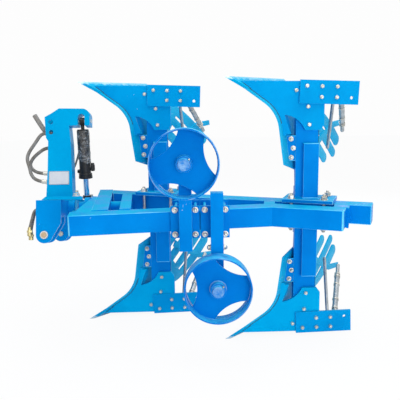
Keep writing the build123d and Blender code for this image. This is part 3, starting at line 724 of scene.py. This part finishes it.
def guard(name, line, radius, pitch=0.0062, steps=12):
    """The spiral wire wound round a hose's sleeve, in so many steps a turn."""
    spots = []
    side = Vector((0, 1, 0))
    turned = 0.0
    for a, b in zip(line, line[1:]):
        way = (b - a).normalized()
        side = (side - way * side.dot(way)).normalized()
        other = way.cross(side)
        count = max(1, round((b - a).length / pitch * steps))
        for step in range(count):
            turned += (b - a).length / count / pitch * 2 * math.pi
            centre = a.lerp(b, (step + 0.5) / count)
            spots.append(centre + side * radius * math.cos(turned) + other * radius * math.sin(turned))
    piece = drawn(name, spots, 0.0016, 1)
    bpy.ops.object.shade_smooth()
    finish_piece(piece, "headstock", SLEEVE)
    return piece


FERRULE = join(
    "ferrule",
    [
        disc("ferrule_body", 0.0118, 0.026, 28, 0.0015, 0.004),
        hexagon("ferrule_hex", 0.0135, 0.010, 0.028),
        disc("ferrule_lip", 0.0125, 0.004, 28, 0.001, 0.008),
    ],
)
FERRULE_LENGTH = 0.0378
for name, across, diameter, material, route in HOSE_ROUTES:
    points = [head(x, across, z) for x, z in route]
    piece = hose(name + "_line", points, diameter, material)
    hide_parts(name)
    line = own_line(piece)
    if name == "hose_sleeve":
        fitting = guard(name + "_guard", line, 0.0128)
    else:
        start = next(p for p in reversed(line) if (p - line[-1]).length > 0.0375)
        way = (line[-1] - start).normalized()
        seat = facing(line[-1] - way * FERRULE_LENGTH, way)
        fitting = copies(FERRULE, name + "_ferrule", [seat], "headstock", ZINC)
    round(smooth_length(points), 3)

# ---- quick couplers
COUPLER = join(
    "coupler_master",
    [
        disc("coupler_body", 0.0105, 0.042, 28, 0.002),
        hexagon("coupler_hex", 0.015, 0.012, 0.012),
        disc("coupler_collar", 0.0125, 0.014, 32, 0.0015, 0.027),
        disc("coupler_neck", 0.0085, 0.010, 24, 0.001, -0.006),
    ],
)
for name, across, drop in (("near", -0.168, 0.0), ("far", -0.146, 0.022)):
    route = [(-0.8973, -0.012), (-0.918, -0.012), (-0.932, -0.060), (-0.946, -0.118 - drop)]
    points = [head(x, across, z) for x, z in route]
    line = hose(f"coupler_hose_{name}", points, 0.014, HOSE)
    seat = facing(head(-0.944, across, -0.112 - drop), -HEAD_UP)
    coupler = copies(COUPLER, f"coupler_{name}", [seat], "headstock", BRASS)
    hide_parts("quick_couplers")
    round(smooth_length(points), 3)

# ---- bolt heads on the bodies
FLAT_HEAD = join(
    "flat_head",
    [disc("flat_washer", 0.0122, 0.0022, 28, 0.0007), hexagon("flat_nut", 0.0100, 0.0066, 0.0022),
     threaded("flat_end", 0.0052, 0.0032, 0.0086)],
)
LANDSIDE_SLOPE = math.radians(2.3)
# x and height of each bolt on a frog, then column and row of each on a landside
FROG_BOLTS = [(-0.345, 0.072), (-0.284, 0.154), (-0.276, 0.245)]
LANDSIDE_BOLTS = [(0, 0), (1, 0), (2, 0), (1, 1), (2, 1)]
LANDSIDE_CORNER = (-0.3266, 0.0201)
FIRST_ALONG, COLUMN_PITCH = 0.03475, 0.076
FIRST_RISE, ROW_PITCH = 0.0305, 0.053
FROG_FACE = 0.0123


def on_body(x, y, height, back, up):
    """A point of a body, its height measured from the share's edge."""
    return place(x, y, -up * (AXIS_HEIGHT - height)) + BODY_PITCH * back


for name, back, up in BODIES:
    places = []
    for column, row in LANDSIDE_BOLTS:
        along = FIRST_ALONG + column * COLUMN_PITCH
        rise = FIRST_RISE + row * ROW_PITCH
        x = LANDSIDE_CORNER[0] + along * math.cos(LANDSIDE_SLOPE) - rise * math.sin(LANDSIDE_SLOPE)
        height = LANDSIDE_CORNER[1] + along * math.sin(LANDSIDE_SLOPE) + rise * math.cos(LANDSIDE_SLOPE)
        places.append(facing(on_body(x, 0.0, height, back, up), NEAR))
    for x, height in FROG_BOLTS:
        places.append(facing(on_body(x, FROG_FACE, height, back, up), NEAR))
    copies(FLAT_HEAD, name + "_bolt_heads", places, "frame", ZINC)

# ---- saddle nuts and arm bolts
SADDLE_NUT = nut_master("saddle_nut", 0.0122, 0.011, 0.004)
WHEELS = [
    # name, wheel's x and height, saddle's middle x, cross pin's height
    ("upper", -0.108, 0.295, -0.112, None),
    ("lower", 0.040, -0.295, 0.032, -0.119),
]
SADDLE_NEAR, SADDLE_BACK = -0.527, -0.346
ARM_HALF, ARM_MIDDLE = 0.0305, -0.5573
for name, wheel_x, _, middle_x, pin_height in WHEELS:
    places = []
    for along in (-0.049, 0.049):
        for rise in (-0.060, 0.060):
            x = middle_x + along
            places.append(facing(place(x, SADDLE_NEAR, rise), NEAR, 0.4 + along * 7 + rise * 5))
            places.append(facing(place(x, SADDLE_BACK, rise), -NEAR, 0.2 + along * 5))
    if pin_height:
        for side in (-1, 1):
            spot = place(wheel_x + side * ARM_HALF, ARM_MIDDLE, pin_height)
            places.append(facing(spot, (side, 0, 0), 0.3))
    copies(SADDLE_NUT, f"saddle_nuts_{name}", places, "frame", ZINC)

# ---- rib bolts in front of the legs
RIB_NUT = nut_master("rib_nut", 0.0106, 0.009, 0.006)
RIB_BOLTS = [(-0.362, 0.414), (-0.352, 0.366), (-0.364, 0.318)]
RIB_FACE = 0.0346
for name, back, up in BODIES:
    places = [facing(on_body(x, RIB_FACE, height, back, up), NEAR, height * 9) for x, height in RIB_BOLTS]
    copies(RIB_NUT, name + "_rib_nuts", places, "frame", ZINC)

# ---- bolts and joints on the mouldboards
# A mouldboard's face is ruled by level lines that run along one way and look forward.
RULING = math.radians(48)
ALONG = Vector((math.cos(RULING), math.sin(RULING), 0))
FORWARD = Vector((-math.sin(RULING), math.cos(RULING), 0))
FACE_ORIGIN = Vector((-0.408, 0, 0))
WELL_AHEAD = 1.5


def on_face(node, along, height, back, up):
    """Where a mouldboard's or share's front face is, and how it faces there."""
    flat = FACE_ORIGIN + ALONG * along + FORWARD * WELL_AHEAD
    start = on_body(flat.x, flat.y, height, back, up)
    found, spot, normal, _ = nodes[node].ray_cast(start, -FORWARD)
    if not found:
        raise RuntimeError(f"{node} has no face at {along}, {height}")
    if normal.dot(FORWARD) < 0:
        normal = -normal
    return spot, normal


PLOUGH_BOLT = disc("plough_bolt", 0.0105, 0.0022, 28, 0.0009, -0.001)
SHARE_BOLT = disc("share_bolt", 0.009, 0.0022, 28, 0.0009, -0.001)
# how far along the face and how high each bolt is
FACE_BOLTS = [
    (0.045, 0.110), (0.190, 0.105), (0.300, 0.130), (0.060, 0.245), (0.190, 0.240), (0.062, 0.395),
    (0.120, 0.420), (0.345, 0.375), (0.452, 0.308), (0.540, 0.266),
]
SHARE_BOLTS = [(0.030, 0.036), (0.150, 0.036), (0.270, 0.036)]


def dark_line(name, spots, radius):
    """A joint's dark line through its spots."""
    piece = drawn(name, spots, radius, 1)
    finish_piece(piece, "frame", SEAM)


def face_seam(name, node, route, back, up, steps=24):
    """A thin dark joint line that lies on a mouldboard's face."""
    spots = []
    for (a, b), (c, d) in zip(route, route[1:]):
        for step in range(steps + 1):
            t = step / steps
            spot, normal = on_face(node, a + (c - a) * t, b + (d - b) * t, back, up)
            spots.append(spot + normal * 0.0002)
    dark_line(name, spots, 0.0011)


EDGE_FROM, EDGE_RISE, EDGE_STEPS = 0.030, 0.0072, 30


def front_edge(node, back, up, first=-0.36, stride=0.012, strides=42, halvings=7):
    """Where a frog's near face ends in front, from the share up: felt for in strides, then halved."""
    spots = []
    for step in range(EDGE_STEPS):
        height = EDGE_FROM + step * EDGE_RISE

        def there(x):
            start = on_body(x, -0.05, height, back, up)
            return nodes[node].ray_cast(start, -NEAR, distance=0.07)

        hits = [x for x in (first - stride * n for n in range(strides)) if there(x)[0]]
        if not hits:
            continue
        inside, outside = hits[-1], hits[-1] - stride
        for _ in range(halvings):
            middle = (inside + outside) / 2
            if there(middle)[0]:
                inside = middle
            else:
                outside = middle
        spots.append(there(inside)[1] + NEAR * 0.0004)
    return spots


for name, back, up in BODIES:
    edge = front_edge(name + "_frog", back, up)
    if len(edge) > 3:
        dark_line(name + "_frog_seam", edge, 0.0019)
    board = name + "_mouldboard"
    places = [facing(*on_face(board, a, h, back, up)) for a, h in FACE_BOLTS]
    copies(PLOUGH_BOLT, name + "_face_bolts", places, "frame", ZINC)
    places = [facing(*on_face(name + "_share", a, h, back, up)) for a, h in SHARE_BOLTS]
    copies(SHARE_BOLT, name + "_share_bolts", places, "frame", ZINC)
    face_seam(name + "_shin_seam", board, [(0.006, 0.342), (0.088, 0.361)], back, up)
    face_seam(name + "_board_seam", board, [(0.092, 0.066), (0.090, 0.440)], back, up)

# ---- wheels: welds and grease nipple
NIPPLE = join(
    "nipple",
    [hexagon("nipple_hex", 0.0048, 0.004), disc("nipple_stem", 0.0026, 0.006, 16, 0.0004, 0.004),
     disc("nipple_head", 0.0034, 0.0036, 16, 0.0013, 0.0085)],
)
RIPPLE = 0.0022


def weld_bead(name, points, radius, body, material, closed=False):
    """A welder's bead: a lumpy line of overlapping ripples."""
    spots = []
    ends = points[1:] + points[:1] if closed else points[1:]
    for a, b in zip(points, ends):
        count = max(2, round((b - a).length / RIPPLE))
        spots += [a.lerp(b, i / count) for i in range(count)]
    if not closed:
        spots.append(points[-1])

    def ripple(number):
        return (0.84, 1.0, 0.92)[number % 3] + 0.10 * math.sin(number * 0.71)

    piece = drawn(name, spots, radius, 2, closed, ripple)
    bpy.ops.object.shade_smooth()
    finish_piece(piece, body, material)


def ring(centre, axis, radius, count=40):
    """Points round a circle."""
    stand = facing(centre, axis)
    turns = [2 * math.pi * i / count for i in range(count)]
    return [stand @ Vector((radius * math.cos(turn), radius * math.sin(turn), 0)) for turn in turns]


HUB_R = 0.0385
RIM_INSIDE_R = 0.1525
WEB_NEAR, WEB_BACK = 0.648, 0.640  # the two faces of a wheel's web
for name, wheel_x, height, _, _ in WHEELS:
    body = "wheel_" + name
    hub = place(wheel_x, 0, height)
    face = hub + NEAR * WEB_NEAR
    back_face = hub + NEAR * WEB_BACK
    weld_bead(f"hub_weld_{name}", ring(face, NEAR, HUB_R), 0.0034, body, WHEEL_BLUE, True)
    weld_bead(f"hub_back_weld_{name}", ring(back_face, NEAR, HUB_R), 0.003, body, WHEEL_BLUE, True)
    weld_bead(f"rim_weld_{name}", ring(face, NEAR, RIM_INSIDE_R, 96), 0.0026, body, WHEEL_BLUE, True)
    seat = facing(hub + Vector((0.024, -0.684, 0.0225)), NEAR)
    copies(NIPPLE, f"wheel_nipple_{name}", [seat], body, ZINC)

# ---- headstock fittings
PIN_END = disc("pin_end", 0.0160, 0.0045, 36, 0.0016)
PIN_RING = disc("pin_ring", 0.0192, 0.0025, 36, 0.0010)
HITCH_X, HITCH_ASIDE, HITCH_HEIGHT = -0.856, 0.2103, -0.148
for name, way in (("near", -1), ("far", 1)):
    seats = [facing(head(HITCH_X, way * HITCH_ASIDE, HITCH_HEIGHT), -HEAD_NEAR * way)]
    copies(PIN_RING, f"hitch_pin_ring_{name}", seats, "headstock", RING_WHITE)
    copies(PIN_END, f"hitch_pin_end_{name}", seats, "headstock", TAN)

PLATE_SIZE = (0.1115, 0.0735, 1)
clear()
bpy.ops.mesh.primitive_plane_add(size=1.0)
rim = started("plate_rim_master")
rim.scale = PLATE_SIZE
bpy.ops.object.transform_apply(scale=True)
bpy.ops.object.mode_set(mode="EDIT")
bpy.ops.mesh.select_all(action="SELECT")
bpy.ops.mesh.inset(thickness=0.0022)
bpy.ops.mesh.delete(type="FACE")
bpy.ops.mesh.select_all(action="SELECT")
bpy.ops.mesh.extrude_region_move(TRANSFORM_OT_translate={"value": (0, 0, 0.0007)})
bpy.ops.mesh.normals_make_consistent(inside=False)
done(rim)
stand = Matrix((Vector((1, 0, 0)), HEAD_UP, HEAD_NEAR)).transposed().to_4x4()
stand.translation = head(-0.824, -0.0397, 0.165)
copies(rim, "plate_rim", [stand], "headstock", ROD_STEEL)

RIVET = disc("rivet", 0.0026, 0.0016, 16, 0.0011)
corners = [facing(head(x, -0.0398, z), HEAD_NEAR) for x in (-0.876, -0.772) for z in (0.133, 0.197)]
copies(RIVET, "plate_rivets", corners, "headstock", ZINC)

STOP_NUT = nut_master("stop_nut", 0.0178, 0.0135, 0.014)
STOP_END = threaded("stop_end", 0.0103, 0.0545)
STOP_X, STOP_TOP, STOP_UNDER = -0.690, 0.0523, 0.0348
for name, across in (("near", -0.186), ("far", 0.186)):
    nut_seat = facing(head(STOP_X, across, STOP_TOP), HEAD_UP, 0.2)
    copies(STOP_NUT, f"stop_nut_{name}", [nut_seat], "headstock", ZINC)
    end_seat = facing(head(STOP_X, across, STOP_UNDER), -HEAD_UP)
    copies(STOP_END, f"stop_thread_{name}", [end_seat], "headstock", ZINC)

# ---- turnover cylinder's wrapping, gland nut and ports
BARREL_TOP = Vector(joints["cylinder_swing"]["pos_m"])
BARREL_DOWN = Vector(joints["rod_slide"]["axis"])
BARREL_BODY = joints["cylinder_swing"]["child"]


def down_barrel(distance, aside=0.0):
    """A point of the barrel, its distance measured from the top pin."""
    return BARREL_TOP + BARREL_DOWN * distance + Vector((aside, 0, 0))


wrap = tube("wrap", 0.0336, 0.0345, 0.186, 72, 70)
folds = bpy.data.textures.new("folds", "CLOUDS")
folds.noise_scale = 0.022
folds.noise_depth = 2
crumple = wrap.modifiers.new("crumple", "DISPLACE")
crumple.texture = folds
crumple.texture_coords = "LOCAL"
crumple.strength = 0.0042
crumple.mid_level = 0.42
choose(wrap)
bpy.ops.object.modifier_apply(modifier="crumple")
bpy.ops.object.mode_set(mode="EDIT")
bpy.ops.mesh.select_all(action="SELECT")
bpy.ops.mesh.bisect(plane_co=(0.0, 0, 0.176), plane_no=(0.42, 0.1, 1), clear_outer=True, use_fill=False)
bpy.ops.object.mode_set(mode="OBJECT")
seat = facing(down_barrel(0.052), BARREL_DOWN)
copies(wrap, "cylinder_wrap", [seat], BARREL_BODY, FILM)

GLAND_RING = join(
    "gland_ring",
    [tube("gland_low", 0.0349, 0.0392, 0.012), tube("gland_high", 0.0349, 0.0380, 0.026),
     tube("gland_lip", 0.0319, 0.0372, 0.004)],
)
PORT = join(
    "port",
    [disc("port_boss", 0.0130, 0.010, 32, 0.0015, -0.006), hexagon("port_hex", 0.0112, 0.009, 0.004)],
)
ELBOW = join(
    "elbow",
    [disc("elbow_boss", 0.0140, 0.012, 32, 0.0015, -0.006), hexagon("elbow_hex", 0.0125, 0.008, 0.006)],
)
BANJO = join(
    "banjo",
    [disc("banjo_body", 0.0125, 0.030, 32, 0.002), hexagon("banjo_hex", 0.0105, 0.010, 0.030),
     disc("banjo_foot", 0.0105, 0.006, 24, 0.001, -0.006)],
)
ROD_COLLAR = tube("rod_collar", 0.0163, 0.0228, 0.017, 40)
ROD_BODY = joints["rod_slide"]["child"]
FITTINGS = [
    # master, name, distance down the barrel, how far aside, which way it stands, body
    (GLAND_RING, "gland_nut", 0.3256, 0.0, -BARREL_DOWN, BARREL_BODY),
    (PORT, "port_mast_side", 0.286, -0.0315, (-1, 0, 0), BARREL_BODY),
    (ELBOW, "port_open_side", 0.262, 0.0315, (1, 0, 0), BARREL_BODY),
    (BANJO, "port_elbow", 0.278, 0.0440, -BARREL_DOWN, BARREL_BODY),
    (ROD_COLLAR, "rod_end_collar", 0.428, 0.0, BARREL_DOWN, ROD_BODY),
]
for master, name, distance, aside, way, body in FITTINGS:
    copies(master, name, [facing(down_barrel(distance, aside), way)], body, BLACK)

# ---- the cylinder's upper hose
FEED_ROUTE = [
    (-0.788, 0.000, 0.190), (-0.778, 0.004, 0.196), (-0.764, 0.024, 0.215), (-0.752, 0.050, 0.262),
    (-0.736, 0.063, 0.325), (-0.719, 0.064, 0.352), (-0.708, 0.062, 0.376),
]
points = [place(*spot) for spot in FEED_ROUTE]
feed = hose("cylinder_hose", points, 0.011, HOSE, body=None)
line = own_line(feed)
choose(feed)
bpy.ops.object.convert(target="MESH")
bpy.ops.object.shade_smooth()
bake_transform(feed)
round(smooth_length(points), 3)
HOSE_BOSS = disc("hose_boss", 0.0098, 0.028, 32, 0.002)
HOSE_NECK = hexagon("hose_neck", 0.0088, 0.014)
OUT_OF_BARREL = Vector((0, 0.9992, 0.0406))
barrel_side = down_barrel(0.0885) + OUT_OF_BARREL * 0.031
HOSE_ENDS = [
    # master, name, place, which way it stands, body
    (HOSE_BOSS, "hose_boss_mast", head(-0.792, 0.0375, 0.203), -HEAD_NEAR, "headstock"),
    (HOSE_NECK, "hose_neck_mast", place(-0.7955, 0.0, 0.190), (1, 0.08, 0.12), "headstock"),
    (HOSE_BOSS, "hose_boss_barrel", barrel_side, OUT_OF_BARREL, BARREL_BODY),
    (HOSE_NECK, "hose_neck_barrel", place(-0.7055, 0.0615, 0.386), (-0.2, 0, -1), BARREL_BODY),
]
for master, name, spot, way, body in HOSE_ENDS:
    copies(master, name, [facing(spot, way)], body, ZINC)

# ---- collars and locknuts on the long braces
BRACE_LOW = (-0.112, 0.0343, 0.100)
BRACE_HIGH = (-0.015, 0.352, 0.292)
BRACE_COLLAR = tube("brace_collar", 0.0148, 0.0176, 0.010, 32)
BRACE_NUT = hexagon("brace_nut", 0.0185, 0.013)
# how far from the sleeve's middle each collar and locknut sits
COLLARS = (-0.124, -0.060, 0.050, 0.112)
LOCKNUT = 0.1305
for name, back, up in BODIES:
    low = on_body(*BRACE_LOW, back, up)
    high = on_body(*BRACE_HIGH, back, up)
    way = (high - low).normalized()
    middle = low.lerp(high, 0.45)
    collars = [facing(middle + way * d, way) for d in COLLARS]
    nuts = [facing(middle - way * LOCKNUT, -way), facing(middle + way * LOCKNUT, way)]
    copies(BRACE_COLLAR, name + "_brace_collars", collars, "frame", ZINC)
    copies(BRACE_NUT, name + "_brace_nuts", nuts, "frame", ZINC)

# ---- weld beads on the frame
def meet(a, b, c, d):
    """Where two plan lines cross."""
    a, b, c, d = (Vector(p) for p in (a, b, c, d))
    r, q = b - a, d - c
    t = ((c - a).x * q.y - (c - a).y * q.x) / (r.x * q.y - r.y * q.x)
    return a + r * t


TUBE_HALF = 0.05
NEAR_BACK = [(-0.6796, -0.4862), (0.2957, -0.3326)]
CROSS_MEMBERS = [
    # name, the two plan edges of the member that meets the near beam's back
    ("cross_front", [(-0.583, 0.235), (-0.490, -0.495)], [(-0.664, 0.235), (-0.571, -0.495)]),
    ("cross_rear", [(-0.502, 0.100), (-0.438, -0.470)], [(-0.445, 0.100), (-0.381, -0.470)]),
]
for name, first, second in CROSS_MEMBERS:
    ends = [meet(*edge, *NEAR_BACK) for edge in (first, second)]
    for side in (-1, 1):
        points = [place(p.x, p.y, side * (TUBE_HALF + 0.0003)) for p in ends]
        weld_bead(f"{name}_weld_{'low' if side < 0 else 'top'}", points, 0.0042, "frame", BLUE)

for name, back, up in BODIES:
    outline = [(-0.3035, 0.618), (-0.3035, 0.3395), (-0.2245, 0.3395), (-0.2245, 0.618)]
    points = [on_body(x, 0.0300, height, back, up) for x, height in outline]
    weld_bead(name + "_leg_weld", points, 0.0034, "frame", BLUE)
    foot = [(-0.3425, 0.0295), (-0.2195, 0.0295), (-0.2195, 0.0815), (-0.3425, 0.0815)]
    foot.append(foot[0])
    points = [on_body(x, y, 0.6235, back, up) for x, y in foot]
    weld_bead(name + "_foot_weld", points, 0.0042, "frame", BLUE)

for master in masters:
    bpy.data.objects.remove(master)

# ---- floor, light and camera
FLOOR_SIZE = 40.0
FLOOR_DROP = 0.0005
FLOOR_GLOW = 0.93  # how far the camera sees the floor as plain white
SKY_LIGHT = 0.64
SKY_WHITE = 0.984
clear()
bpy.ops.mesh.primitive_plane_add(size=FLOOR_SIZE, location=(0, 0, -FLOOR_DROP))
floor = started("studio_floor")
floor_finish = bpy.data.materials.new("studio floor")
floor_finish.use_nodes = True
tree = floor_finish.node_tree
plain = tree.nodes["Principled BSDF"]
plain.inputs["Base Color"].default_value = (0.93, 0.94, 0.95, 1)
plain.inputs["Roughness"].default_value = 0.9
glow = add_node(tree, "ShaderNodeEmission")
glow.inputs["Color"].default_value = (1, 1, 1, 1)
seen = tree.nodes.new("ShaderNodeLightPath").outputs
share = sums(tree, "MULTIPLY", seen["Is Camera Ray"], FLOOR_GLOW)
both = add_node(tree, "ShaderNodeMixShader", {0: share})
tree.links.new(plain.outputs[0], both.inputs[1])
tree.links.new(glow.outputs[0], both.inputs[2])
tree.links.new(both.outputs[0], tree.nodes["Material Output"].inputs[0])
floor.data.materials.append(floor_finish)

world = bpy.data.worlds.new("studio")
bpy.context.scene.world = world
world.use_nodes = True
tree = world.node_tree
sky = tree.nodes["Background"]
sky.inputs["Color"].default_value = (0.92, 0.96, 1.0, 1)
sky.inputs["Strength"].default_value = SKY_LIGHT
white = add_node(tree, "ShaderNodeBackground")
white.inputs["Color"].default_value = (SKY_WHITE, SKY_WHITE, SKY_WHITE, 1)
white.inputs["Strength"].default_value = 1.0
seen = tree.nodes.new("ShaderNodeLightPath").outputs
shown = sums(tree, "MAXIMUM", seen["Is Camera Ray"], seen["Is Glossy Ray"])
pair = add_node(tree, "ShaderNodeMixShader", {0: shown})
tree.links.new(sky.outputs[0], pair.inputs[1])
tree.links.new(white.outputs[0], pair.inputs[2])
tree.links.new(pair.outputs[0], tree.nodes["World Output"].inputs[0])

LAMP_AIM = Vector((0, 0, 0.6))
LAMPS = [
    # name, place, size, watts
    ("overhead", (0.1, -0.6, 4.2), 3.6, 78),
    ("front_fill", (1.5, -4.4, 0.9), 3.0, 76),
    ("rear_fill", (2.4, 3.6, 2.8), 3.0, 46),
]
for name, spot, size, watts in LAMPS:
    lamp = bpy.data.lights.new(name, "AREA")
    lamp.shape = "DISK"
    lamp.size = size
    lamp.energy = watts
    holder = bpy.data.objects.new(name, lamp)
    holder.matrix_world = facing(Vector(spot), Vector(spot) - LAMP_AIM)
    bpy.context.scene.collection.objects.link(holder)

camera_data = bpy.data.cameras.new("camera")
camera_data.lens = 46.85
camera_data.sensor_width = 36.0
camera_data.clip_end = 60.0
camera = bpy.data.objects.new("camera", camera_data)
camera.location = (-0.0036, -2.8873, 1.2296)
camera.rotation_euler = [math.radians(a) for a in (80.1155, 0.822, 0.0778)]
bpy.context.scene.collection.objects.link(camera)
bpy.context.scene.camera = camera

bpy.context.scene.view_settings.view_transform = "Standard"
bpy.context.view_layer.update()
